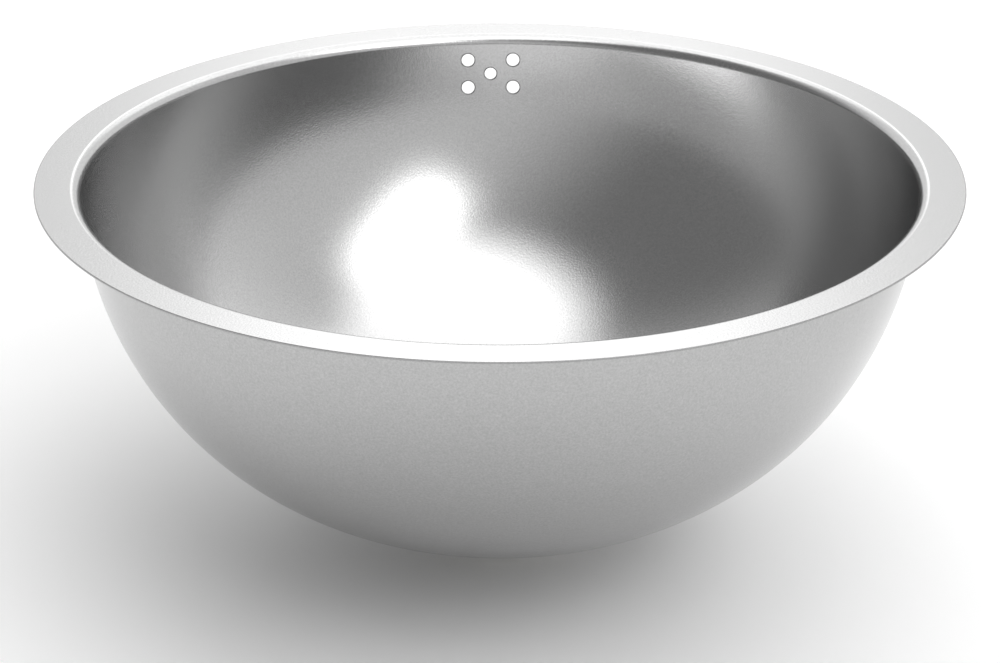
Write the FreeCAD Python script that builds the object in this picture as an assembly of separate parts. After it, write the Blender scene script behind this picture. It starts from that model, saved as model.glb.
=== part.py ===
import FreeCAD, Part
import math
import os

# Round inset sink: a deep-drawn stainless bowl with a flat rim, and its short basket waste.
# Millimetres. +Z is up. The origin is on the bowl's axis, in the plane of the worktop under the rim.
# The overflow holes are at the back, on the +Y side. Angles are in degrees.

# Bowl, one pressing of sheet. Radii of bends are those of the upper, inner surface.
sheet = 0.8
rim_diameter = 380.0
rim_width = 14.4  # flat, from the edge to the start of the roll
rim_edge_round = 0.2
roll_radius = 4.4  # the rim turns down into the bowl
mouth_lean = 2.35  # of the wall, off the vertical, just under the roll
bowl_depth = 142.1  # from the rim's top to the edge of the waste recess
shoulder_slope = 25.0  # where the wall's arc passes into the base's arc
base_radius = 80.0
floor_fall = 3.0  # of the bottom, towards the waste

# Waste recess and hole, in the middle of the bowl's bottom
recess_gap = 0.8  # round the strainer flange
recess_bend = 2.4
waste_gap = 2.8  # between the cup's throat and the hole's edge

# Overflow holes in the back wall, punched in one stroke square to the wall
overflow_hole_diameter = 6.0
screw_hole_diameter = 5.5  # in the middle, for the screw of an overflow fitting
overflow_across = 20.7
overflow_down = 12.8
overflow_depth = 17.65  # of the middle hole, below the rim's top

# Sealing strip stuck under the rim
rim_seal_thickness = 1.5
rim_seal_width = 8.0
rim_seal_inset = 5.0  # from the rim's edge

# Strainer cup, pressed from sheet: a flange, a cone, a straight throat and a spoked floor
cup_sheet = 1.0
cup_flange_overhang = 1.0  # past the upper seal
cup_cone_reach = 5.0  # from the bore to the mouth
cup_mouth_bend = 2.5
cup_cone_slope = 60.0
cup_throat_bend = 3.0
cup_bore_radius = 19.2
cup_corner = 2.0
cup_depth = 16.5  # from the flange's top to the floor's top
cup_slot_inner_radius = 7.5
cup_slot_margin = 5.2  # from the bore to the slots
cup_spoke_width = 3.2
cup_spokes = 4
screw_play = 0.25  # round the clamp screw in the cup's floor

# Rubber rings above and below the bowl's bottom
upper_seal_thickness = 1.5
upper_seal_margin = 2.2  # from the waste hole's edge to the seal's
upper_seal_width = 8.8
lower_seal_thickness = 2.0
lower_seal_margin = 1.0  # from the waste hole's edge to the seal's
lower_seal_width = 7.0

# Moulded outlet body under the bowl, with a G 1 1/2 thread for the trap's nut
body_flange_thickness = 4.0
body_gap = 0.3  # between the cup's throat and the body's bore
body_mouth_chamfer = 1.6
tail_wall = 3.4
tail_length = 15.2  # under the flange
tail_end_chamfer = 0.8
thread_pitch = 2.309
thread_depth = 1.1
thread_root_width = 0.5
thread_flank_angle = 27.5
hub_radius = 7.8
hub_drop = 0.5  # the clamp gap between the cup's floor and the hub
rib_thickness = 2.6
rib_drop = 1.2  # from the hub's top to the ribs' top
rib_height = 4.6
rib_root = 0.5  # of the ribs, let into the body's wall
body_flange_chamfer = 0.6

# Brass nut moulded into the hub, and the clamp screw
nut_across_flats = 10.0
nut_height = 5.0
screw_radius = 3.0
screw_length = 7.5  # under the head
thread_play = 0.05
screw_head_radius = 4.0
screw_head_height = 5.0
screw_head_round = 0.6
screw_slot_width = 1.2
screw_slot_depth = 1.6

# Lift-out basket, pressed from sheet
basket_sheet = 0.6
basket_gap = 0.6  # between the basket's wall and the cup's bore
basket_lip_bend = 1.2
basket_lip_run = 0.8
basket_depth = 12.1  # from the lip's top to the bottom's top
basket_corner = 2.0
basket_slots = 12
basket_slot_width = 2.6
basket_slot_height = 6.4
basket_slot_above_bottom = 2.4
dome_foot_radius = 10.5
dome_height = 5.5
dome_slope = 78.0
dome_foot_bend = 1.2
dome_top_bend = 1.8

# Rubber ring under the basket's bottom
basket_seal_thickness = 2.5
basket_seal_margin = 0.3  # between the ring's inner edge and the dome's foot

# Plastic bush that grips the clamp screw's head
bush_wall = 1.9
bush_grip_gap = 0.3
bush_foot_gap = 0.6  # between the bush and the cup's floor
bush_cap = 1.5
bush_chamfer = 0.6
bush_slits = 4
bush_slit_width = 1.0
bush_slit_height = 4.2

# Post through the basket, its washer and its knob
post_radius = 2.0
post_foot_radius = 3.3
post_foot_thickness = 1.2
post_collar_radius = 3.2
post_collar_height = 9.6
post_thread_length = 6.0
running_gap = 0.05
post_washer_radius = 5.0
post_washer_thickness = 0.8
post_washer_play = 0.1
knob_foot_radius = 4.4
knob_waist_radius = 3.5
knob_waist_height = 4.0
knob_radius = 9.0
knob_edge_height = 9.0  # of the head's lower edge above the knob's foot
knob_edge_thickness = 1.6
knob_crown = 2.6
knob_neck_flare = 0.3  # of the neck, half way from the foot to the waist
knob_hole_spare = 1.0  # past the post's end
flare_shares = (0.3, 0.7)  # middle of the flared underside, outwards and upwards

overrun = 1.0  # of every cutting tool past the material


def direction(angle):
    return math.cos(math.radians(angle)), math.sin(math.radians(angle))


def tan(angle):
    return math.tan(math.radians(angle))


def at(radius, height):
    return FreeCAD.Vector(radius, 0, height)


def turned(wire):
    """Solid of revolution about Z of a closed outline in the XZ plane."""
    axis_point = FreeCAD.Vector(0, 0, 0)
    return Part.Face(wire).revolve(axis_point, FreeCAD.Vector(0, 0, 1), 360)


def polygon(points):
    corners = [at(radius, height) for radius, height in points]
    return Part.makePolygon(corners + corners[:1])


def ring(inner_radius, outer_radius, bottom, thickness):
    top = bottom + thickness
    return turned(polygon([
        (inner_radius, bottom), (outer_radius, bottom), (outer_radius, top), (inner_radius, top)]))


def bent_side(start, heading, moves, shift):
    """Edges along one side of a bent sheet, shift to the left of the path that the moves describe.

    A move is ("run", length), or ("left" or "right", radius, angle) for a bend that starts tangent to the
    last move.
    """
    radius, height = start
    edges = []
    for move in moves:
        ahead = direction(heading)
        aside = direction(heading + 90)
        first = at(radius + shift * aside[0], height + shift * aside[1])
        if move[0] == "run":
            radius += move[1] * ahead[0]
            height += move[1] * ahead[1]
            last = at(radius + shift * aside[0], height + shift * aside[1])
            edges.append(Part.LineSegment(first, last).toShape())
            continue
        side = 1 if move[0] == "left" else -1
        centre = radius + side * move[1] * aside[0], height + side * move[1] * aside[1]
        kept = move[1] - side * shift
        spokes = [direction(heading - side * 90 + side * share * move[2]) for share in (0, 0.5, 1)]
        through = [at(centre[0] + kept * spoke[0], centre[1] + kept * spoke[1]) for spoke in spokes]
        edges.append(Part.Arc(*through).toShape())
        radius = centre[0] + move[1] * spokes[2][0]
        height = centre[1] + move[1] * spokes[2][1]
        heading += side * move[2]
    return edges


def pressed(start, heading, moves, thickness):
    """Round pressing: the upper surface follows the moves from its outer edge inwards, and the sheet lies
    under it."""
    upper = bent_side(start, heading, moves, 0)
    lower = bent_side(start, heading, moves, thickness)
    outer_cap = Part.LineSegment(lower[0].Vertexes[0].Point, upper[0].Vertexes[0].Point).toShape()
    inner_cap = Part.LineSegment(upper[-1].Vertexes[-1].Point, lower[-1].Vertexes[-1].Point).toShape()
    outline = Part.Wire(Part.__sortEdges__([outer_cap] + upper + [inner_cap] + lower))
    return turned(outline)


def bar(width, height, reach, bottom):
    """Upright slab from the axis out along +X, centred on the XZ plane."""
    return Part.makeBox(reach, width, height, FreeCAD.Vector(0, -width / 2, bottom))


def around(shape, count, first_angle=0.0):
    copies = []
    for number in range(count):
        copy = shape.copy()
        turn = first_angle + 360 * number / count
        copy.rotate(FreeCAD.Vector(0, 0, 0), FreeCAD.Vector(0, 0, 1), turn)
        copies.append(copy)
    return copies


# Radii from the strainer's bore outwards, and the basket's inside it
cup_slot_outer_radius = cup_bore_radius - cup_slot_margin
cup_mouth_radius = cup_bore_radius + cup_cone_reach
cup_throat_radius = cup_bore_radius + cup_sheet
waste_hole_radius = cup_throat_radius + waste_gap
upper_seal_inner_radius = waste_hole_radius + upper_seal_margin
upper_seal_outer_radius = upper_seal_inner_radius + upper_seal_width
cup_flange_radius = upper_seal_outer_radius + cup_flange_overhang
recess_floor_radius = cup_flange_radius + recess_gap
lower_seal_inner_radius = waste_hole_radius + lower_seal_margin
body_flange_radius = lower_seal_inner_radius + lower_seal_width
body_bore_radius = cup_throat_radius + body_gap
tail_radius = body_bore_radius + tail_wall
basket_bore_radius = cup_bore_radius - basket_gap - basket_sheet

# Heights that several pieces share
rim_underside = rim_seal_thickness
rim_top = rim_underside + sheet
rim_radius = rim_diameter / 2
recess_depth = upper_seal_thickness + cup_sheet  # so the strainer flange lies flush with the bottom
recess_floor = rim_top - bowl_depth - recess_depth
cup_flange_top = recess_floor + recess_depth
cup_floor = cup_flange_top - cup_depth
body_top = recess_floor - sheet - lower_seal_thickness
tail_end = body_top - body_flange_thickness - tail_length
hub_top = cup_floor - cup_sheet - hub_drop
basket_bottom = cup_floor + basket_seal_thickness + basket_sheet
basket_lip_top = basket_bottom + basket_depth
dome_top = basket_bottom + dome_height
bush_top = dome_top - basket_sheet
washer_top = dome_top + post_washer_thickness
knob_foot = washer_top + post_collar_height


def recess_turn():
    """Angle of the recess's sloping step, from two equal bends that drop by recess_depth between them."""
    incoming = math.cos(math.radians(floor_fall))
    return math.degrees(math.acos((1 + incoming - recess_depth / recess_bend) / 2))


def recess_edge_radius():
    step = recess_turn()
    fall = math.sin(math.radians(floor_fall))
    return recess_floor_radius + recess_bend * (2 * math.sin(math.radians(step)) - fall)


def wall_arc_radius():
    """Radius of the wall's arc that brings the bottom to bowl_depth, with every bend tangent to the next."""
    lean_across, lean_down = direction(mouth_lean)
    slope_down, slope_across = direction(shoulder_slope)
    fall_down, fall_across = direction(floor_fall)
    fall = tan(floor_fall)
    roll_end = rim_radius - rim_width - roll_radius * lean_across
    base_across = base_radius * (slope_across - fall_across)
    base_drop = base_radius * (fall_down - slope_down)
    fixed_drop = roll_radius * (1 - lean_down) + base_drop
    fixed_drop += (roll_end - base_across - recess_edge_radius()) * fall
    drop_per_radius = slope_down - lean_down - (lean_across - slope_across) * fall
    return (bowl_depth - fixed_drop) / drop_per_radius


def bowl_moves():
    wall = wall_arc_radius()
    lean_across = direction(mouth_lean)[0]
    slope_across = direction(shoulder_slope)[1]
    fall_down, fall_across = direction(floor_fall)
    wall_centre = rim_radius - rim_width - (roll_radius + wall) * lean_across
    base_end = wall_centre + wall * slope_across - base_radius * (slope_across - fall_across)
    step = recess_turn()
    return [
        ("run", rim_width),
        ("left", roll_radius, 90 - mouth_lean),
        ("right", wall, 90 - mouth_lean - shoulder_slope),
        ("right", base_radius, shoulder_slope - floor_fall),
        ("run", (base_end - recess_edge_radius()) / fall_down),
        ("left", recess_bend, step - floor_fall),
        ("right", recess_bend, step),
        ("run", recess_floor_radius - waste_hole_radius),
    ]


def overflow_place():
    """Centre of the middle overflow hole on the wall's inner surface, and the slope of the wall's normal
    there."""
    wall = wall_arc_radius()
    lean_across, lean_down = direction(mouth_lean)
    centre_radius = rim_radius - rim_width - (roll_radius + wall) * lean_across
    centre_height = rim_top - roll_radius + (roll_radius + wall) * lean_down
    tilt = math.degrees(math.asin((centre_height - rim_top + overflow_depth) / wall))
    return centre_radius + wall * direction(tilt)[0], tilt


def sink_bowl():
    bowl = pressed((rim_radius, rim_top), 180, bowl_moves(), sheet)
    rim_edges = [edge for edge in bowl.Edges if edge.Length > math.tau * (rim_radius - rim_edge_round)]
    bowl = bowl.makeFillet(rim_edge_round, rim_edges)
    middle_radius, tilt = overflow_place()
    outward = FreeCAD.Vector(0, direction(tilt)[0], -direction(tilt)[1])
    down_wall = FreeCAD.Vector(0, -direction(tilt)[1], -direction(tilt)[0])
    across = FreeCAD.Vector(1, 0, 0)
    middle = FreeCAD.Vector(0, middle_radius, rim_top - overflow_depth)
    reach = overflow_hole_diameter + sheet + overrun
    holes = [(middle, screw_hole_diameter)]
    for side in (-1, 1):
        for row in (-1, 1):
            place = middle + across * (side * overflow_across / 2) + down_wall * (row * overflow_down / 2)
            holes.append((place, overflow_hole_diameter))
    for place, diameter in holes:
        punch = Part.makeCylinder(diameter / 2, 2 * reach, place - outward * reach, outward)
        bowl = bowl.cut(punch)
    return bowl


def rim_seal():
    outer_radius = rim_radius - rim_seal_inset
    return ring(outer_radius - rim_seal_width, outer_radius, 0, rim_seal_thickness)


def strainer_cup():
    cone_across, cone_down = direction(cup_cone_slope)
    throat_turn = 90 - cup_cone_slope
    mouth_end = cup_mouth_radius - cup_mouth_bend * cone_down
    throat_start = cup_bore_radius + cup_throat_bend * (1 - cone_down)
    cone_length = (mouth_end - throat_start) / cone_across
    bends_drop = cup_mouth_bend * (1 - cone_across) + cup_throat_bend * cone_across
    straight = cup_depth - bends_drop - cone_length * cone_down - cup_corner
    cup = pressed((cup_flange_radius, cup_flange_top), 180, [
        ("run", cup_flange_radius - cup_mouth_radius),
        ("left", cup_mouth_bend, cup_cone_slope),
        ("run", cone_length),
        ("left", cup_throat_bend, throat_turn),
        ("run", straight),
        ("right", cup_corner, 90),
        ("run", cup_bore_radius - cup_corner - screw_radius - screw_play),
    ], cup_sheet)
    bottom = cup_floor - cup_sheet - overrun
    height = cup_sheet + 2 * overrun
    slots = ring(cup_slot_inner_radius, cup_slot_outer_radius, bottom, height)
    spoke = bar(cup_spoke_width, height, cup_flange_radius, bottom)
    return cup.cut(slots.cut(around(spoke, cup_spokes)))


def upper_seal():
    return ring(upper_seal_inner_radius, upper_seal_outer_radius, recess_floor, upper_seal_thickness)


def lower_seal():
    return ring(lower_seal_inner_radius, body_flange_radius, body_top, lower_seal_thickness)


def hexagon(across_flats, bottom, height):
    corner = across_flats / 2 / direction(30)[0]
    corners = [FreeCAD.Vector(corner * direction(60 * k)[0], corner * direction(60 * k)[1], bottom)
               for k in range(7)]
    return Part.Face(Part.makePolygon(corners)).extrude(FreeCAD.Vector(0, 0, height))


def outlet_body():
    flange_bottom = body_top - body_flange_thickness
    body = turned(polygon([
        (body_bore_radius + body_mouth_chamfer, body_top),
        (body_flange_radius, body_top),
        (body_flange_radius, flange_bottom + body_flange_chamfer),
        (body_flange_radius - body_flange_chamfer, flange_bottom),
        (tail_radius, flange_bottom),
        (tail_radius, tail_end + tail_end_chamfer),
        (tail_radius - tail_end_chamfer, tail_end),
        (body_bore_radius, tail_end),
        (body_bore_radius, body_top - body_mouth_chamfer),
    ]))
    half_root = thread_root_width / 2
    half_mouth = half_root + (thread_depth + overrun) * tan(thread_flank_angle)
    grooves = int((tail_length - thread_pitch) / thread_pitch)
    for number in range(grooves):
        height = tail_end + (number + 1) * thread_pitch
        body = body.cut(turned(polygon([
            (tail_radius - thread_depth, height - half_root),
            (tail_radius + overrun, height - half_mouth),
            (tail_radius + overrun, height + half_mouth),
            (tail_radius - thread_depth, height + half_root),
        ])))
    hub = Part.makeCylinder(hub_radius, hub_top - tail_end, FreeCAD.Vector(0, 0, tail_end))
    rib = bar(rib_thickness, rib_height, body_bore_radius + rib_root, hub_top - rib_drop - rib_height)
    body = body.fuse([hub] + around(rib, cup_spokes)).removeSplitter()
    nut_room = hexagon(nut_across_flats, hub_top - nut_height, nut_height)
    screw_room = Part.makeCylinder(
        screw_radius + screw_play, hub_top - tail_end + 2 * overrun, FreeCAD.Vector(0, 0, tail_end - overrun))
    return body.cut(nut_room.fuse(screw_room))


def outlet_nut():
    nut = hexagon(nut_across_flats, hub_top - nut_height, nut_height)
    bore = Part.makeCylinder(
        screw_radius + thread_play, nut_height + 2 * overrun,
        FreeCAD.Vector(0, 0, hub_top - nut_height - overrun))
    return nut.cut(bore)


def clamp_screw():
    head = Part.makeCylinder(screw_head_radius, screw_head_height, FreeCAD.Vector(0, 0, cup_floor))
    head_top = cup_floor + screw_head_height
    top_edges = [edge for edge in head.Edges if edge.BoundBox.ZMin > head_top - screw_head_round]
    head = head.makeFillet(screw_head_round, top_edges)
    shank = Part.makeCylinder(screw_radius, screw_length, FreeCAD.Vector(0, 0, cup_floor - screw_length))
    slot = Part.makeBox(
        2 * screw_head_radius + 2 * overrun, screw_slot_width, screw_slot_depth + overrun,
        FreeCAD.Vector(-screw_head_radius - overrun, -screw_slot_width / 2, head_top - screw_slot_depth))
    return head.fuse(shank).removeSplitter().cut(slot)


def basket_cup():
    lip_radius = basket_bore_radius + basket_lip_bend + basket_lip_run
    dome_across, dome_up = direction(dome_slope)
    bends = dome_foot_bend + dome_top_bend
    dome_run = (dome_height - bends * (1 - dome_across)) / dome_up
    plateau_radius = dome_foot_radius - bends * dome_up - dome_run * dome_across
    cup = pressed((lip_radius, basket_lip_top), 180, [
        ("run", basket_lip_run),
        ("left", basket_lip_bend, 90),
        ("run", basket_depth - basket_lip_bend - basket_corner),
        ("right", basket_corner, 90),
        ("run", basket_bore_radius - basket_corner - dome_foot_radius),
        ("right", dome_foot_bend, dome_slope),
        ("run", dome_run),
        ("left", dome_top_bend, dome_slope),
        ("run", plateau_radius - post_radius - post_washer_play),
    ], basket_sheet)
    low = basket_bottom + basket_slot_above_bottom + basket_slot_width / 2
    straight = basket_slot_height - basket_slot_width
    reach = basket_bore_radius + basket_sheet + overrun
    along = FreeCAD.Vector(1, 0, 0)
    slot = bar(basket_slot_width, straight, reach, low)
    for height in (low, low + straight):
        end = Part.makeCylinder(basket_slot_width / 2, reach, FreeCAD.Vector(0, 0, height), along)
        slot = slot.fuse(end)
    inside = Part.makeCylinder(
        basket_bore_radius - basket_corner, basket_depth + overrun, FreeCAD.Vector(0, 0, basket_bottom))
    return cup.cut(around(slot.cut(inside), basket_slots, 180 / basket_slots))


def basket_seal():
    inner_radius = dome_foot_radius + basket_seal_margin
    outer_radius = basket_bore_radius - basket_corner
    return ring(inner_radius, outer_radius, cup_floor, basket_seal_thickness)


def grip_bush():
    bore = screw_head_radius + bush_grip_gap
    outer = bore + bush_wall
    foot = cup_floor + bush_foot_gap
    ceiling = bush_top - bush_cap
    bush = turned(polygon([
        (bore, foot),
        (outer, foot),
        (outer, bush_top - bush_chamfer),
        (outer - bush_chamfer, bush_top),
        (post_radius + running_gap, bush_top),
        (post_radius + running_gap, ceiling),
        (bore, ceiling),
    ]))
    slit = bar(bush_slit_width, bush_slit_height + overrun, outer + overrun, foot - overrun)
    return bush.cut(around(slit, bush_slits, 180 / bush_slits))


def basket_post():
    foot_top = bush_top - bush_cap
    foot_bottom = foot_top - post_foot_thickness
    return turned(polygon([
        (0, foot_bottom),
        (post_foot_radius, foot_bottom),
        (post_foot_radius, foot_top),
        (post_radius, foot_top),
        (post_radius, washer_top),
        (post_collar_radius, washer_top),
        (post_collar_radius, knob_foot),
        (post_radius, knob_foot),
        (post_radius, knob_foot + post_thread_length),
        (0, knob_foot + post_thread_length),
    ]))


def post_washer():
    return ring(post_radius + post_washer_play, post_washer_radius, dome_top, post_washer_thickness)


def basket_knob():
    """Turned knob: a waisted neck, a flared underside, a straight edge and a crown that is part of a
    sphere."""
    hole = post_radius + thread_play
    waist_height = knob_foot + knob_waist_height
    edge_low = knob_foot + knob_edge_height
    edge_high = edge_low + knob_edge_thickness
    top = edge_high + knob_crown
    deep = knob_foot + post_thread_length + knob_hole_spare
    flare = knob_radius - knob_waist_radius
    crown_radius = (knob_radius ** 2 + knob_crown ** 2) / (2 * knob_crown)
    half_crown = math.degrees(math.asin(knob_radius / crown_radius)) / 2
    down, across = direction(half_crown)
    foot_edge = at(knob_foot_radius, knob_foot)
    waist = at(knob_waist_radius, waist_height)
    low_rim = at(knob_radius, edge_low)
    high_rim = at(knob_radius, edge_high)
    neck_middle = at(knob_waist_radius + knob_neck_flare, knob_foot + knob_waist_height / 2)
    flare_middle = at(
        knob_waist_radius + flare * flare_shares[0],
        waist_height + (edge_low - waist_height) * flare_shares[1])
    crown_middle = at(crown_radius * across, top - crown_radius * (1 - down))
    edges = [
        Part.LineSegment(at(hole, knob_foot), foot_edge),
        Part.Arc(foot_edge, neck_middle, waist),
        Part.Arc(waist, flare_middle, low_rim),
        Part.LineSegment(low_rim, high_rim),
        Part.Arc(high_rim, crown_middle, at(0, top)),
        Part.LineSegment(at(0, top), at(0, deep)),
        Part.LineSegment(at(0, deep), at(hole, deep)),
        Part.LineSegment(at(hole, deep), at(hole, knob_foot)),
    ]
    return turned(Part.Wire([edge.toShape() for edge in edges]))


pieces = {
    "sink_bowl": sink_bowl,
    "rim_seal": rim_seal,
    "strainer_cup": strainer_cup,
    "upper_seal": upper_seal,
    "lower_seal": lower_seal,
    "outlet_body": outlet_body,
    "outlet_nut": outlet_nut,
    "clamp_screw": clamp_screw,
    "basket_cup": basket_cup,
    "basket_seal": basket_seal,
    "grip_bush": grip_bush,
    "basket_post": basket_post,
    "post_washer": post_washer,
    "basket_knob": basket_knob,
}

os.makedirs("parts", exist_ok=True)
for name, make in pieces.items():
    solid = make()
    print(name, "solids", len(solid.Solids), "valid", solid.isValid(), "volume", round(solid.Volume, 1))
    solid.exportStep(os.path.join("parts", name + ".step"))
print("wall arc radius", round(wall_arc_radius(), 3), "overflow place", overflow_place())
print("recess floor", round(recess_floor, 3), "tail end", round(tail_end, 3), "rim top", rim_top)
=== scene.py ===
import math

import bmesh
import bpy
import numpy as np
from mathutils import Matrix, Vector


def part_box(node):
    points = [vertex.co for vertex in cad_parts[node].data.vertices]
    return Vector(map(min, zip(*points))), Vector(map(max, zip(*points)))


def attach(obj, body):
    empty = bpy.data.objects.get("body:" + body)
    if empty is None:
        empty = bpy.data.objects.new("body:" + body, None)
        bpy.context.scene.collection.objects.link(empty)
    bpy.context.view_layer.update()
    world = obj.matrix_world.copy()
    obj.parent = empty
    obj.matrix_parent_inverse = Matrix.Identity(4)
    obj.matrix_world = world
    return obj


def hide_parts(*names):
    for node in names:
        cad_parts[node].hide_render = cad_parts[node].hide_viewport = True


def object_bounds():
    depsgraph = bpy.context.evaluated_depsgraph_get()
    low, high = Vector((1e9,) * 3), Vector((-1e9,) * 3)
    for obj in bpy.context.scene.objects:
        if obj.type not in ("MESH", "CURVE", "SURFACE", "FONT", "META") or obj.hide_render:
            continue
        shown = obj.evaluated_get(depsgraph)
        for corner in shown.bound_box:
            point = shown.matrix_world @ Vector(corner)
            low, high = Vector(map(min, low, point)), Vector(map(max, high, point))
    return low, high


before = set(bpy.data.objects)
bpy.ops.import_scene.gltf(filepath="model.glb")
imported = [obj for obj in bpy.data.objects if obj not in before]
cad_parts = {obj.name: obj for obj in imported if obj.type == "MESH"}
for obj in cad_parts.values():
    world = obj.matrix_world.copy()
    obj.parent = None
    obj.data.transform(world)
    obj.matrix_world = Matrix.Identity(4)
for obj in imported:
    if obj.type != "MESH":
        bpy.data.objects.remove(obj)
cad_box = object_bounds()
mm = 0.001

# The bowl: one deep drawing of 0.8 mm stainless sheet, with a flat rim that rolls over into a round wall.
# The press leaves the sheet smooth, and a fine abrasive gives the inside an even satin. The overflow holes
# are punched through the back wall in one stroke, and the waste hole lies in a shallow recess.
bowl_low, bowl_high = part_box("sink_bowl")
sheet = 0.8 * mm
rim_radius = bowl_high.x
rim_top = bowl_high.z
rim_width = 14.4 * mm
rim_edge_round = 0.2 * mm
roll_radius = 4.4 * mm
mouth_lean = 2.35
shoulder_slope = 25.0
base_radius = 80 * mm
floor_fall = 3.0
recess_bend = 2.4 * mm
recess_depth = 2.5 * mm
recess_floor_radius = 35.8 * mm
waste_hole_radius = 23 * mm
bowl_depth = rim_top - bowl_low.z - sheet - recess_depth
overflow_radius = 3 * mm
overflow_screw_radius = 2.75 * mm
overflow_across = 20.7 * mm
overflow_down = 12.8 * mm
overflow_depth = 17.65 * mm


def direction(angle):
    """Cosine and sine of an angle in degrees, as the last axis of an array."""
    return np.stack([np.cos(np.radians(angle)), np.sin(np.radians(angle))], -1)


def bent_path(start, heading, moves, step=2 * mm, turn=6.0):
    """Points and left-hand normals along a bent sheet, in the plane of radius and height.

    Each move is a run, or a bend to the left or right with a radius and an angle. A run's points are its
    start plus an even share of its length along the heading. A bend's points are its centre less its radius
    times the side normal, which turns at a steady rate.
    """
    here = np.array(start, float)
    points, normals = [here[None]], [direction(np.array([heading + 90]))]
    for kind, size, *angle in moves:
        if kind == "run":
            share = np.linspace(0, 1, 1 + max(1, math.ceil(size / step)))[1:, None]
            points.append(here + share * size * direction(heading))
            normals.append(np.repeat(direction(np.array([heading + 90])), len(share), 0))
        else:
            side = 1 if kind == "left" else -1
            count = max(2, math.ceil(angle[0] / turn), math.ceil(math.radians(angle[0]) * size / step))
            aside = direction(heading + 90 + side * angle[0] * np.linspace(0, 1, 1 + count)[1:])
            points.append(here + side * size * (direction(heading + 90) - aside))
            normals.append(aside)
            heading += side * angle[0]
        here = points[-1][-1]
    return np.concatenate(points), np.concatenate(normals)


def turned_points(profile, angles):
    """Profile points (radius, height) turned about the vertical axis: (radius cos, radius sin, height)."""
    around = direction(np.degrees(angles))
    flat = profile[:, None, :1] * around[None]
    height = np.broadcast_to(profile[:, None, 1:], flat.shape[:2] + (1,))
    return np.concatenate([flat, height], -1)


def grid_faces(index, wrap=False):
    """Quads of a grid of point numbers. They face the side from which the rows are seen to run to the right
    of the columns."""
    if wrap:
        index = np.concatenate([index, index[:, :1]], 1)
    return np.stack([index[:-1, :-1], index[:-1, 1:], index[1:, 1:], index[1:, :-1]], -1).reshape(-1, 4)


sharp_edge = 35


def mesh_piece(name, points, faces, normals=None):
    """A mesh object of all the points and faces, shaded smooth up to the sharp angle between two faces.

    Where normals are given, each point keeps its own for the shading, and a point with none gets the mean of
    its faces.
    """
    mesh = bpy.data.meshes.new(name)
    mesh.from_pydata(np.asarray(points).reshape(-1, 3).tolist(), [], faces)
    mesh.shade_smooth()
    mesh.set_sharp_from_angle(angle=math.radians(sharp_edge))
    if normals is not None:
        mesh.normals_split_custom_set_from_vertices(normals.tolist())
    piece = bpy.data.objects.new(name, mesh)
    bpy.context.scene.collection.objects.link(piece)
    return piece


def recess_moves():
    """Steepest angle of the recess's step, whose two bends together drop by the recess's depth, and the
    radius where the step begins."""
    incoming = math.cos(math.radians(floor_fall))
    step = math.degrees(math.acos((1 + incoming - recess_depth / recess_bend) / 2))
    edge = recess_floor_radius + recess_bend * (
        2 * math.sin(math.radians(step)) - math.sin(math.radians(floor_fall)))
    return step, edge


def wall_arc():
    """Radius of the wall's arc that brings the bottom to the bowl's depth, each bend tangent to the next."""
    lean, slope, fall = (direction(angle) for angle in (mouth_lean, shoulder_slope, floor_fall))
    tangent = fall[1] / fall[0]
    roll_end = rim_radius - rim_width - roll_radius * lean[0]
    base_across = base_radius * (slope[1] - fall[1])
    fixed = roll_radius * (1 - lean[1]) + base_radius * (fall[0] - slope[0])
    fixed += (roll_end - base_across - recess_moves()[1]) * tangent
    return (bowl_depth - fixed) / (slope[0] - lean[1] - (lean[0] - slope[1]) * tangent)


wall_radius = wall_arc()
wall_centre = np.array([
    rim_radius - rim_width - (roll_radius + wall_radius) * direction(mouth_lean)[0],
    rim_top - roll_radius + (roll_radius + wall_radius) * direction(mouth_lean)[1]])


# Where the five holes are punched, square to the wall at the middle one.
hole_tilt = math.degrees(math.asin((wall_centre[1] - rim_top + overflow_depth) / wall_radius))
punch = np.array([0, direction(hole_tilt)[0], -direction(hole_tilt)[1]])
down_wall = np.array([0, -direction(hole_tilt)[1], -direction(hole_tilt)[0]])
across = np.array([1.0, 0, 0])
hole_middle = np.array([0, *(wall_centre + wall_radius * direction(-hole_tilt))])
holes = [(hole_middle, overflow_screw_radius)] + [
    (hole_middle + side * overflow_across / 2 * across + row * overflow_down / 2 * down_wall, overflow_radius)
    for side in (-1, 1) for row in (-1, 1)]

# The grid gets fine near the holes. A square of this half width makes way for each hole's sleeve, which has
# rings at these shares of the way from the hole's edge to the square's border.
patch_half = 4.5 * mm
patch_step = 0.9 * mm
patch_shares = (0.55, 0.2)
coarse_turn = 1.0
punch_steps = 6


def wall_points(turns, slopes, radius):
    """Points of the wall's arc of that radius: its centre's ring at each turn, plus the radius at each slope
    below the horizontal, and the unit vectors away from the arc's centre. Angles are in degrees."""
    around, below = direction(turns), direction(slopes)
    away = np.concatenate([around * below[..., :1], -below[..., 1:]], -1)
    ring = np.concatenate([around * wall_centre[0], np.full_like(below[..., :1], wall_centre[1])], -1)
    return ring + radius * away, away


def wall_angles(points):
    """Turn about the bowl's axis and slope below the horizontal of points near the wall, in degrees."""
    reach = np.hypot(points[..., 0], points[..., 1])
    turns = np.degrees(np.arctan2(points[..., 1], points[..., 0]))
    return turns, np.degrees(np.arctan2(wall_centre[1] - points[..., 2], reach - wall_centre[0]))


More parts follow.
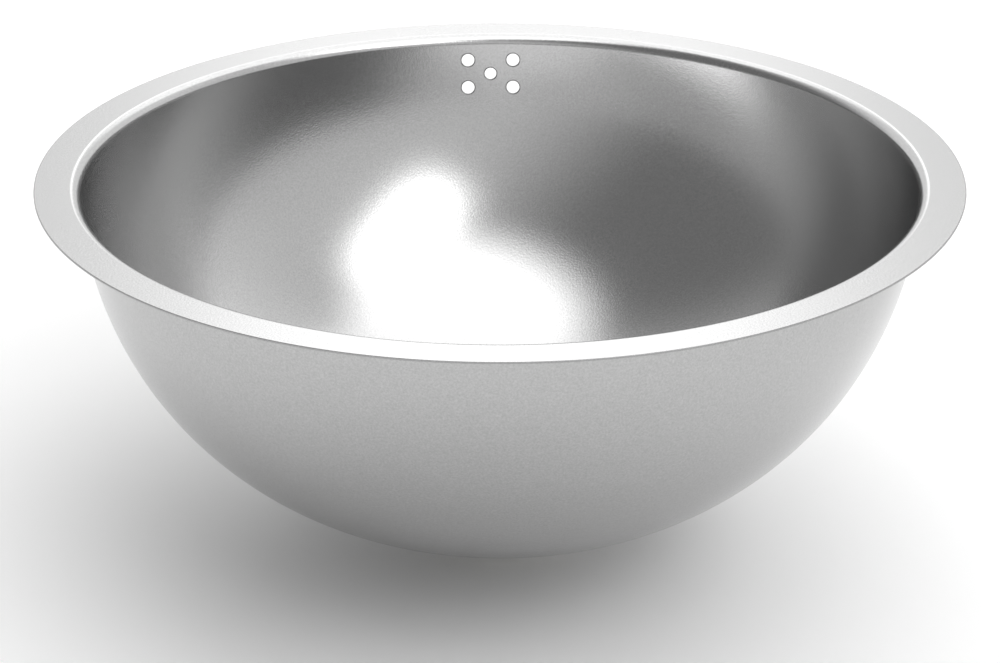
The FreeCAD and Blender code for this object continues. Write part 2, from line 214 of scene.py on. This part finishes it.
def punched_circle(centre, hole_radius, places, radius):
    """Turns and slopes where lines along the punch, round its edge at the given places, meet the wall's arc.

    Each line steps along the punch by the distance that it still lacks from the arc, divided by how squarely
    it meets it, until it lies on the arc.
    """
    points = centre + hole_radius * (places[:, :1] * across + places[:, 1:] * down_wall)
    for _ in range(punch_steps):
        turns, slopes = wall_angles(points)
        on_arc, away = wall_points(turns, slopes, radius)
        short = ((on_arc - points) * away).sum(-1) / (away @ punch)
        points = points + short[:, None] * punch
    return wall_angles(points)


def bowl_mesh():
    """The bowl as one closed surface. Its upper side, the waste hole's edge, its lower side and the rim's
    edge are a profile turned round the axis. Round each overflow hole a square of the grid is left out on
    both sides, and a sleeve of quads runs from the square's border to the hole's edge, through the sheet and
    out to the border of the other side's square."""
    step, recess_edge = recess_moves()
    lean, slope, fall = (direction(angle) for angle in (mouth_lean, shoulder_slope, floor_fall))
    band = math.degrees((overflow_down / 2 + patch_half + patch_step) / wall_radius)
    base_end = wall_centre[0] + wall_radius * slope[1] - base_radius * (slope[1] - fall[1])
    wall_step = 4 * mm
    coarse_bend = 9.0
    fine_bend = math.degrees(patch_step / wall_radius)
    edge_bend = 30
    start = (rim_radius - rim_edge_round, rim_top)
    first = bent_path(start, 180, [
        ("run", rim_width - rim_edge_round),
        ("left", roll_radius, 90 - mouth_lean),
        ("right", wall_radius, hole_tilt - band - mouth_lean)], wall_step, coarse_bend)
    second = bent_path(
        first[0][-1], 270 - hole_tilt + band, [("right", wall_radius, 2 * band)], wall_step, fine_bend)
    third = bent_path(second[0][-1], 270 - hole_tilt - band, [
        ("right", wall_radius, 90 - shoulder_slope - hole_tilt - band),
        ("right", base_radius, shoulder_slope - floor_fall),
        ("run", (base_end - recess_edge) / fall[0]),
        ("left", recess_bend, step - floor_fall),
        ("right", recess_bend, step),
        ("run", recess_floor_radius - waste_hole_radius)], wall_step, coarse_bend)
    upper, inward = (np.concatenate([a, b[1:], c[1:]]) for a, b, c in zip(first, second, third))
    lower = upper + sheet * inward
    edge, edge_inward = bent_path(lower[0], 0, [
        ("left", rim_edge_round, 90),
        ("run", sheet - 2 * rim_edge_round),
        ("left", rim_edge_round, 90)], sheet, edge_bend)
    profile = np.concatenate([upper, lower[::-1], edge[1:-1]])
    outward = np.concatenate([-inward, inward[::-1], -edge_inward[1:-1]])
    outward[[len(upper) - 1, len(upper)]] = 0

    reach = math.degrees((overflow_across / 2 + patch_half + patch_step) / hole_middle[1])
    fine_count = 1 + math.ceil(2 * reach / math.degrees(patch_step / hole_middle[1]))
    fine = np.linspace(90 - reach, 90 + reach, fine_count)
    coarse = np.linspace(90 + reach, 450 - reach, math.ceil((360 - 2 * reach) / coarse_turn))
    turns = np.concatenate([fine, coarse[1:-1]])
    points = turned_points(profile, np.radians(turns))
    normals = turned_points(outward, np.radians(turns))
    index = np.arange(points.shape[0] * points.shape[1]).reshape(points.shape[:2])
    kept = np.ones(index.shape, bool)
    slopes = np.degrees(np.arctan2(wall_centre[1] - upper[:, 1], upper[:, 0] - wall_centre[0]))
    points, normals = points.reshape(-1, 3), normals.reshape(-1, 3)
    last_row = 2 * len(upper) - 1
    faces = []
    for centre, hole_radius in holes:
        hole_turn, hole_slope = wall_angles(centre)
        sides = [int(np.abs(turns - hole_turn - sign * math.degrees(patch_half / hole_middle[1])).argmin())
                 for sign in (-1, 1)]
        ends = [int(np.abs(slopes - hole_slope - sign * math.degrees(patch_half / wall_radius)).argmin())
                for sign in (-1, 1)]
        columns, rows = np.arange(sides[0], sides[1]), np.arange(ends[0], ends[1])
        column = np.concatenate([
            columns, np.full(len(rows), sides[1]), columns[::-1] + 1, np.full(len(rows), sides[0])])
        row = np.concatenate([
            np.full(len(columns), ends[0]), rows, np.full(len(columns), ends[1]), rows[::-1] + 1])
        border = np.stack([turns[column], slopes[row]])
        spread = points[index[row, column]] - centre
        places = np.stack([spread @ across, spread @ down_wall], -1)
        places /= np.linalg.norm(places, axis=1, keepdims=True)
        other_row = last_row - row
        kept[ends[0]:ends[1], sides[0]:sides[1]] = False
        kept[last_row - ends[1]:last_row - ends[0], sides[0]:sides[1]] = False
        sleeve, sleeve_normals = [], []
        for radius, shares, side in (
                (wall_radius, (*patch_shares, 0), -1), (wall_radius + sheet, (0, *patch_shares[::-1]), 1)):
            circle = np.stack(punched_circle(centre, hole_radius, places, radius))
            for share in shares:
                ring, away = wall_points(*(share * border + (1 - share) * circle), radius)
                sleeve.append(ring)
                sleeve_normals.append(side * away * (share > 0))
        numbers = len(points) + np.arange(len(sleeve) * len(row)).reshape(len(sleeve), -1)
        points = np.concatenate([points, *sleeve])
        normals = np.concatenate([normals, *sleeve_normals])
        loops = np.concatenate([index[row, column][None], numbers, index[other_row, column][None]])
        faces.append(grid_faces(loops, wrap=True))
    closed = np.concatenate([index, index[:1]])
    faces.append(grid_faces(closed, wrap=True)[kept.reshape(-1)])
    return points, np.concatenate(faces).tolist(), normals


bowl = mesh_piece("bowl", *bowl_mesh())
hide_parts("sink_bowl")
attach(bowl, "sink")


def linear(colour):
    """Linear red, green, blue and alpha of an sRGB hex colour."""
    parts = [int(colour[k:k + 2], 16) / 255 for k in (1, 3, 5)]
    return (*[p / 12.92 if p <= 0.04045 else ((p + 0.055) / 1.055) ** 2.4 for p in parts], 1)


def add_node(material, kind, links=(), **settings):
    """A node of that kind with its sockets or properties set, and (source socket, own input's name or number)
    links made."""
    node = material.node_tree.nodes.new(kind)
    for name, value in settings.items():
        label = name.replace("_", " ")
        if hasattr(node, name):
            setattr(node, name, value)
        else:
            next(s for s in node.inputs if s.name == label and s.enabled).default_value = value
    for source, target in links:
        if isinstance(target, str):
            target = next(k for k, s in enumerate(node.inputs) if s.name == target and s.enabled)
        material.node_tree.links.new(source, node.inputs[target])
    return node


def new_material(name):
    """A material with no nodes yet."""
    material = bpy.data.materials.new(name)
    material.use_nodes = True
    material.node_tree.nodes.clear()
    return material


def object_noise(material, size, detail=2.0):
    """A noise with features of that size in metres, fixed to the piece."""
    place = add_node(material, "ShaderNodeTexCoord").outputs["Object"]
    noise = add_node(material, "ShaderNodeTexNoise", [(place, "Vector")], Scale=1 / size, Detail=detail)
    return noise.outputs[0]


def axis_distance(material, place):
    """Distance of each place from the bowl's axis."""
    flat = add_node(material, "ShaderNodeVectorMath", [(place, 0)], operation="MULTIPLY")
    flat.inputs[1].default_value = (1, 1, 0)
    reach = add_node(material, "ShaderNodeVectorMath", [(flat.outputs[0], 0)], operation="LENGTH")
    return reach.outputs["Value"]


# The edges of the rim and the holes: rougher, as the cut sheet is, and darkened in a thin line of painted
# shade.
edge_line = 0.4 * mm
rim_edge_share = 0.45


def rough_edges_and_painted_shade(material):
    """How strongly the edges of the sheet are roughened and darkened: the rim's share for a thin line along
    its edge, and 1 round each punched hole. The roughness is that of the cut edges; the darkening is painted
    shade, an outline of the rim and the holes. The distance from a hole's axis is the length of the cross
    product of the way from its middle with the punch."""
    place = add_node(material, "ShaderNodeTexCoord").outputs["Object"]
    reach = axis_distance(material, place)
    rim = add_node(material, "ShaderNodeMath", [(reach, 0)], operation="GREATER_THAN")
    rim.inputs[1].default_value = rim_radius - edge_line
    edge_roughness_and_shade = add_node(material, "ShaderNodeMath", [(rim.outputs[0], 0)], operation="MULTIPLY")
    edge_roughness_and_shade.inputs[1].default_value = rim_edge_share
    for centre, hole_radius in holes:
        way = add_node(material, "ShaderNodeVectorMath", [(place, 0)], operation="SUBTRACT")
        way.inputs[1].default_value = centre
        aside = add_node(material, "ShaderNodeVectorMath", [(way.outputs[0], 0)], operation="CROSS_PRODUCT")
        aside.inputs[1].default_value = punch
        far = add_node(material, "ShaderNodeVectorMath", [(aside.outputs[0], 0)], operation="LENGTH")
        ring = add_node(material, "ShaderNodeMath", [(far.outputs["Value"], 0)], operation="LESS_THAN")
        ring.inputs[1].default_value = hole_radius + edge_line
        edge_roughness_and_shade = add_node(
            material, "ShaderNodeMath", [(edge_roughness_and_shade.outputs[0], 0), (ring.outputs[0], 1)], operation="MAXIMUM")
    return edge_roughness_and_shade.outputs[0]


eye_point = rim_top + 10 * mm


def outer_side(material):
    """1 on the outside of the bowl and under its rim, where the surface faces away from a point just above
    the middle of its mouth, and 0 on the inside. It places the outside's painted shade."""
    place = add_node(material, "ShaderNodeTexCoord")
    way = add_node(material, "ShaderNodeVectorMath", [(place.outputs["Object"], 0)], operation="SUBTRACT")
    way.inputs[1].default_value = (0, 0, eye_point)
    away = add_node(material, "ShaderNodeVectorMath", [(way.outputs[0], 0), (place.outputs["Normal"], 1)],
                    operation="DOT_PRODUCT")
    side = add_node(material, "ShaderNodeMath", [(away.outputs["Value"], 0)], operation="GREATER_THAN")
    side.inputs[1].default_value = 0
    return side.outputs[0]


def bowl_steel():
    """Stainless steel sheet, deep drawn and given a satin with a fine abrasive: neutral grey, evenly blurred
    reflections, and a grain that only shows as a faint sparkle. The real grain is finer than a pixel, and is
    drawn here as coarse as it needs to show. The outside is painted darker than the inside, as painted shade,
    and its grain is stronger. The cut edges are rougher, and painted shade darkens them to an outline of
    the rim and the holes."""
    material = new_material("satin_stainless_sheet")
    cloud = object_noise(material, size=60 * mm, detail=3.0)
    grain = object_noise(material, size=0.8 * mm)
    edge_roughness_and_shade = rough_edges_and_painted_shade(material)
    tone = add_node(material, "ShaderNodeMix", [(cloud, "Factor")], data_type="RGBA",
                    A=linear("#CBCBCB"), B=linear("#CECECE"))
    outer = outer_side(material)
    # Painted shade: the outside of the bowl and the underside of its rim take a darker grey, #B3B3B3, than
    # the inside.
    painted_outside_shade = add_node(material, "ShaderNodeMix", [(outer, "Factor"), (tone.outputs[2], "A")], data_type="RGBA",
                     B=linear("#B3B3B3"))
    darkest = add_node(material, "ShaderNodeMix", [(outer, "Factor")], A=0.84, B=0.76).outputs[0]
    brightest = add_node(material, "ShaderNodeMix", [(outer, "Factor")], A=1.16, B=1.24).outputs[0]
    fleck = add_node(material, "ShaderNodeMapRange", [
        (grain, "Value"), (darkest, "To Min"), (brightest, "To Max")])
    flecked = add_node(material, "ShaderNodeVectorMath", [(painted_outside_shade.outputs[2], 0), (fleck.outputs[0], "Scale")],
                       operation="SCALE")
    # Painted shade: the edges of the rim and the holes darkened towards #7C7C7C, as a dark outline.
    colour = add_node(material, "ShaderNodeMix", [(edge_roughness_and_shade, "Factor"), (flecked.outputs[0], "A")],
                      data_type="RGBA", B=linear("#7C7C7C"))
    satin = add_node(material, "ShaderNodeMapRange", [(grain, "Value")], To_Min=0.17, To_Max=0.21)
    rough = add_node(material, "ShaderNodeMix", [(edge_roughness_and_shade, "Factor"), (satin.outputs[0], "A")], B=0.35)
    bump = add_node(material, "ShaderNodeBump", [(grain, "Height")], Strength=1.0, Distance=0.03 * mm)
    steel = add_node(material, "ShaderNodeBsdfPrincipled", [
        (colour.outputs[2], "Base Color"), (rough.outputs[0], "Roughness"), (bump.outputs[0], "Normal")],
        Metallic=1.0)
    add_node(material, "ShaderNodeOutputMaterial", [(steel.outputs[0], "Surface")])
    return material


bowl.data.materials.append(bowl_steel())


# The rim's seal: a strip of closed-cell foam stuck under the flat rim, that keeps water off the worktop's cut
# edge. It is dark grey, quite matt and full of fine cells.
weld_distance = 0.0005 * mm
flat_turn = 0.5


def dressed(node, body, material, edge=0.0):
    """A copy of a CAD piece with its loose triangles joined and its flat faces made whole, smooth over its
    round faces, with its edges broken by a small bevel and its own material."""
    joined = bmesh.new()
    joined.from_mesh(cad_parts[node].data)
    bmesh.ops.remove_doubles(joined, verts=joined.verts, dist=weld_distance)
    bmesh.ops.dissolve_limit(
        joined, angle_limit=math.radians(flat_turn), verts=joined.verts, edges=joined.edges)
    mesh = bpy.data.meshes.new(node + "_shape")
    joined.to_mesh(mesh)
    joined.free()
    mesh.shade_smooth()
    mesh.set_sharp_from_angle(angle=math.radians(sharp_edge))
    mesh.materials.append(material)
    piece = bpy.data.objects.new(node + "_shape", mesh)
    bpy.context.scene.collection.objects.link(piece)
    if edge:
        bevel = piece.modifiers.new("broken edges", "BEVEL")
        bevel.width = edge
        bevel.segments = 2
        bevel.limit_method = "ANGLE"
        bevel.angle_limit = math.radians(sharp_edge)
        bevel.harden_normals = True
    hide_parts(node)
    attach(piece, body)
    return piece


def grained(name, tints, roughness, relief, pattern, **skin):
    """A material whose colour and roughness go from their first to their second value with a pattern from 0
    to 1, which also raises the surface by the relief."""
    material = new_material(name)
    grain = pattern(material)
    tone = add_node(material, "ShaderNodeMix", [(grain, "Factor")], data_type="RGBA",
                    A=linear(tints[0]), B=linear(tints[1]))
    rough = add_node(material, "ShaderNodeMapRange", [(grain, "Value")],
                     To_Min=roughness[0], To_Max=roughness[1])
    bump = add_node(material, "ShaderNodeBump", [(grain, "Height")], Strength=1.0, Distance=relief)
    surface = add_node(material, "ShaderNodeBsdfPrincipled", [
        (tone.outputs[2], "Base Color"), (rough.outputs[0], "Roughness"),
        (bump.outputs[0], "Normal")], **skin)
    add_node(material, "ShaderNodeOutputMaterial", [(surface.outputs[0], "Surface")])
    return material


def foam_cells(material):
    """Round cells, 0 in their middles."""
    cell = 0.5 * mm
    place = add_node(material, "ShaderNodeTexCoord").outputs["Object"]
    cells = add_node(material, "ShaderNodeTexVoronoi", [(place, "Vector")], Scale=1 / cell)
    return cells.outputs["Distance"]


# Foam: a dull dark grey, speckled by its cells, with no highlight.
foam = grained("closed_cell_foam", tints=("#37383A", "#4E4F52"), roughness=(0.95, 0.85), relief=0.08 * mm,
               pattern=foam_cells)
dressed("rim_seal", "sink", foam)


# The strainer: pressed from bright stainless sheet, with a turned-over flange that lies in the bowl's recess
# and a slotted floor. It is polished, so it mirrors more sharply than the bowl.
def polished_rings(material, size):
    """Fine rings about the vertical axis, as a polishing wheel or a lathe leaves them: a noise of the
    distance from the axis alone."""
    place = add_node(material, "ShaderNodeTexCoord").outputs["Object"]
    noise = add_node(material, "ShaderNodeTexNoise", [(axis_distance(material, place), "W")],
                     noise_dimensions="1D", Scale=1 / size, Detail=2.0)
    return noise.outputs[0]


# Pressed stainless: bright and cool, with soft rings in its mirror.
pressed_steel = grained("polished_pressed_stainless", tints=("#CFCFCF", "#D4D4D4"),
                        roughness=(0.10, 0.16), relief=0.001 * mm,
                        pattern=lambda material: polished_rings(material, size=0.5 * mm), Metallic=1.0)
dressed("strainer_cup", "sink", pressed_steel, edge=0.12 * mm)

# The upper seal: a flat rubber ring between the strainer's flange and the recess in the bowl's bottom.
# Only its inner edge shows, from under the bowl.
# Rubber: near black, with a broad dim sheen and a faint unevenness from the mould.
rubber = grained("moulded_black_rubber", tints=("#1D1D1E", "#242425"), roughness=(0.5, 0.65),
                 relief=0.01 * mm, pattern=lambda material: object_noise(material, size=0.4 * mm))
dressed("upper_seal", "sink", rubber, edge=0.2 * mm)

# The lower seal: the same rubber, between the bowl's underside and the flange of the outlet.
# It shows as a black line round the outlet.
dressed("lower_seal", "sink", rubber, edge=0.2 * mm)

# The outlet: one moulding of white polypropylene, with a flange against the bowl, four ribs round the nut and
# the pipe thread for the trap. It is slightly waxy, and lets a little light into its skin.
plastic = grained("white_polypropylene", tints=("#DEDDD8", "#E6E5E1"), roughness=(0.34, 0.46),
                  relief=0.008 * mm, pattern=lambda material: object_noise(material, size=0.5 * mm),
                  Subsurface_Weight=0.1, Subsurface_Scale=1 * mm)
dressed("outlet_body", "sink", plastic, edge=0.15 * mm)

# The nut: a brass insert in the middle of the outlet, which the clamping screw draws on.
# Brass: warm yellow, with the fine rings of the lathe.
brass = grained("turned_brass", tints=("#C9A75C", "#D6B76E"), roughness=(0.18, 0.28), relief=0.002 * mm,
                pattern=lambda material: polished_rings(material, size=0.15 * mm), Metallic=1.0)
dressed("outlet_nut", "sink", brass, edge=0.1 * mm)

# The clamping screw: turned stainless, through the middle of the strainer into the nut.
# Turned steel: a little greyer than the pressed parts, with lathe rings that spread its highlights.
turned_steel = grained("turned_stainless", tints=("#C2C2C1", "#CBCBCA"), roughness=(0.18, 0.26),
                       relief=0.002 * mm,
                       pattern=lambda material: polished_rings(material, size=0.12 * mm), Metallic=1.0)
dressed("clamp_screw", "sink", turned_steel, edge=0.12 * mm)

# The basket: pressed from the same bright sheet as the strainer, with a slotted floor, and lifted out by its
# knob to be emptied.
dressed("basket_cup", "basket", pressed_steel, edge=0.1 * mm)

# The basket's seal: the rubber ring round the basket that closes the strainer when the basket is pushed down.
# It is the same black rubber as the other seals.
dressed("basket_seal", "basket", rubber, edge=0.2 * mm)

# The grip bush: a small nylon sleeve under the basket, which grips the screw's head and lets the basket turn.
# Nylon: ivory, smooth, with light going some way in.
nylon = grained("natural_nylon", tints=("#DDD8C6", "#E5E1D1"), roughness=(0.32, 0.42), relief=0.006 * mm,
                pattern=lambda material: object_noise(material, size=0.6 * mm), Subsurface_Weight=0.2,
                Subsurface_Scale=1 * mm)
dressed("grip_bush", "bush", nylon, edge=0.1 * mm)

# The post: a turned stainless pin that holds the knob, the basket's floor and the bush together.
# It has the turned steel's spread highlights.
dressed("basket_post", "basket", turned_steel, edge=0.1 * mm)

# The washer: a stainless disc between the post's foot and the basket's floor.
# It is punched and turned, in the same steel as the post.
dressed("post_washer", "basket", turned_steel, edge=0.08 * mm)

# The knob: turned from stainless bar and polished, to lift the basket by.
# Polished steel: the brightest and sharpest mirror of the sink.
polished_steel = grained("polished_turned_stainless", tints=("#D3D3D3", "#D8D8D8"),
                         roughness=(0.07, 0.12), relief=0.001 * mm,
                         pattern=lambda material: polished_rings(material, size=0.3 * mm), Metallic=1.0)
dressed("basket_knob", "basket", polished_steel, edge=0.15 * mm)


# The floor: plain, matt and white, just under the foot of the outlet, so that it takes the sink's soft
# shadow. It lets a camera below it see through.
def rays(tree, *kinds):
    """1 for rays of those kinds and 0 for all others."""
    path = add_node(tree, "ShaderNodeLightPath")
    found = path.outputs["Is %s Ray" % kinds[0]]
    for kind in kinds[1:]:
        found = add_node(tree, "ShaderNodeMath", [(found, 0), (path.outputs["Is %s Ray" % kind], 1)],
                         operation="MAXIMUM").outputs[0]
    return found


def floor_white():
    """Matt white: a full white to the camera and in the steel's reflections, and a painted white to the light
    that it throws back on the sink."""
    material = new_material("matt_white_floor")
    side = add_node(material, "ShaderNodeNewGeometry")
    in_sight = rays(material, "Camera", "Glossy", "Transmission")
    seen = add_node(material, "ShaderNodeMix", [(in_sight, "Factor")], data_type="RGBA",
                    A=(0.8, 0.8, 0.8, 1), B=(1, 1, 1, 1))
    matt = add_node(material, "ShaderNodeBsdfDiffuse", [(seen.outputs[2], "Color")])
    clear = add_node(material, "ShaderNodeBsdfTransparent")
    below = add_node(material, "ShaderNodeMath", [
        (rays(material, "Camera"), 0), (side.outputs["Backfacing"], 1)], operation="MULTIPLY")
    surface = add_node(material, "ShaderNodeMixShader", [
        (below.outputs[0], 0), (matt.outputs[0], 1), (clear.outputs[0], 2)])
    add_node(material, "ShaderNodeOutputMaterial", [(surface.outputs[0], "Surface")])
    return material


floor_half = 8.0
floor_gap = 0.4 * mm
floor_height = cad_box[0].z - floor_gap
floor = mesh_piece("floor", [
    (-floor_half, -floor_half, floor_height), (floor_half, -floor_half, floor_height),
    (floor_half, floor_half, floor_height), (-floor_half, floor_half, floor_height)], [(0, 1, 2, 3)])
floor.data.materials.append(floor_white())

# A round lamp faces up in the thin gap between the floor and the foot of the outlet, and is narrower than
# the foot, so that a view from below finds the foot, the ribs, the nut and the screw lit. No camera sees it.
lamp_radius = 23 * mm
lamp_strength = 0.4
lamp = bpy.data.lights.new("outlet_lamp", "AREA")
lamp.shape = "DISK"
lamp.size = 2 * lamp_radius
lamp.energy = lamp_strength * math.pi * math.pi * lamp_radius ** 2
lamp_place = bpy.data.objects.new("outlet_lamp", lamp)
lamp_place.location = (0, 0, floor_height + floor_gap / 2)
lamp_place.rotation_euler = (math.pi, 0, 0)
lamp_place.visible_camera = False
bpy.context.scene.collection.objects.link(lamp_place)

# The camera looks down into the bowl from the front. Its angles are in degrees and its lens in millimetres.
camera_down = 23.952
camera_turn = -1.47
camera = bpy.data.objects.new("camera", bpy.data.cameras.new("camera"))
bpy.context.scene.collection.objects.link(camera)
camera.location = (-0.0316, -1.2321, 0.4774)
camera.rotation_euler = (math.radians(90 - camera_down), 0, math.radians(camera_turn))
camera.data.lens = 115.61
camera.data.sensor_width = 36
bpy.context.scene.camera = camera
bpy.context.scene.view_settings.view_transform = "Standard"

# The light: soft patches in the world, each laid over those before it. The world is dark below the horizon
# and fades in a little above it. Angles are in degrees.
world = bpy.data.worlds.new("studio")
bpy.context.scene.world = world
world.use_nodes = True
world.node_tree.nodes.clear()


def sky_direction(heading, height):
    """Unit vector to a heading, clockwise from the back of the sink, and a height over the horizon."""
    level, up = direction(height)
    ahead, right = direction(heading)
    return np.array([level * right, level * ahead, up])


def sky_edge(toward, start, end):
    """Rises from 0 to 1 as the part of the viewing direction along a vector goes from start to end."""
    look = add_node(world, "ShaderNodeTexCoord").outputs["Generated"]
    along = add_node(world, "ShaderNodeVectorMath", [(look, 0)], operation="DOT_PRODUCT")
    along.inputs[1].default_value = toward
    return add_node(world, "ShaderNodeMapRange", [(along.outputs["Value"], "Value")],
                    interpolation_type="SMOOTHSTEP", From_Min=start, From_Max=end).outputs[0]


def times(first, second):
    """The product of two values."""
    return add_node(world, "ShaderNodeMath", [(first, 0), (second, 1)], operation="MULTIPLY").outputs[0]


def round_light(heading, height, size, soft):
    """Inside of a round light, by its angular radius, with a soft edge."""
    return sky_edge(sky_direction(heading, height), direction(size + soft)[0], direction(size - soft)[0])


def square_light(heading, height, roll, wide, tall, soft):
    """Inside of a four-sided light, by its half angles, rolled about its middle, with soft edges."""
    middle = sky_direction(heading, height)
    right, up = sky_direction(heading + 90, 0), sky_direction(heading, height + 90)
    turned, lean = direction(roll)
    fade = direction(soft)[1]
    inside = None
    for side, half in ((right * turned + up * lean, wide), (up * turned - right * lean, tall)):
        for sign in (1, -1):
            edge = sky_edge(middle * direction(half)[1] - sign * side * direction(half)[0], -fade, fade)
            inside = times(inside, edge) if inside else edge
    return inside


def lit(sky, inside, strength):
    """The sky with a light of that strength laid over it."""
    return add_node(world, "ShaderNodeMix", [(inside, "Factor"), (sky, "A")], B=strength).outputs[0]


room_level = 0.205
dark_up_to = 1.6
lit_from = 4.6
broad = round_light(heading=127.7, height=-30, size=86.1, soft=25.9)
sky = add_node(world, "ShaderNodeMix", [(broad, "Factor")], A=room_level, B=0.69).outputs[0]
sky = lit(sky, square_light(heading=15, height=19.3, roll=-23.6, wide=67.6, tall=64.7, soft=28.5), 0.94)
sky = lit(sky, square_light(heading=143.8, height=45.2, roll=55.6, wide=5.5, tall=18.1, soft=11.2), 6)
sky = lit(sky, round_light(heading=145.7, height=77.3, size=18.5, soft=18), 2.47)
sky = lit(sky, round_light(heading=15.1, height=61, size=32.1, soft=5.7), 1.54)
sky = lit(sky, square_light(heading=1.5, height=25.0, roll=0, wide=5.1, tall=6.5, soft=2.9), 1.92)
sky = times(sky, sky_edge((0, 0, 1), direction(dark_up_to)[1], direction(lit_from)[1]))
# The backdrop is white to the camera, also through clear surfaces. In the steel it gives way to the lights,
# which are all in this world.
backdrop = rays(world, "Camera", "Transmission")
seen_sky = add_node(world, "ShaderNodeMix", [(backdrop, "Factor"), (sky, "A")], B=1.0)
background = add_node(world, "ShaderNodeBackground", [(seen_sky.outputs[0], "Strength")], Color=(1, 1, 1, 1))
add_node(world, "ShaderNodeOutputWorld", [(background.outputs[0], "Surface")])
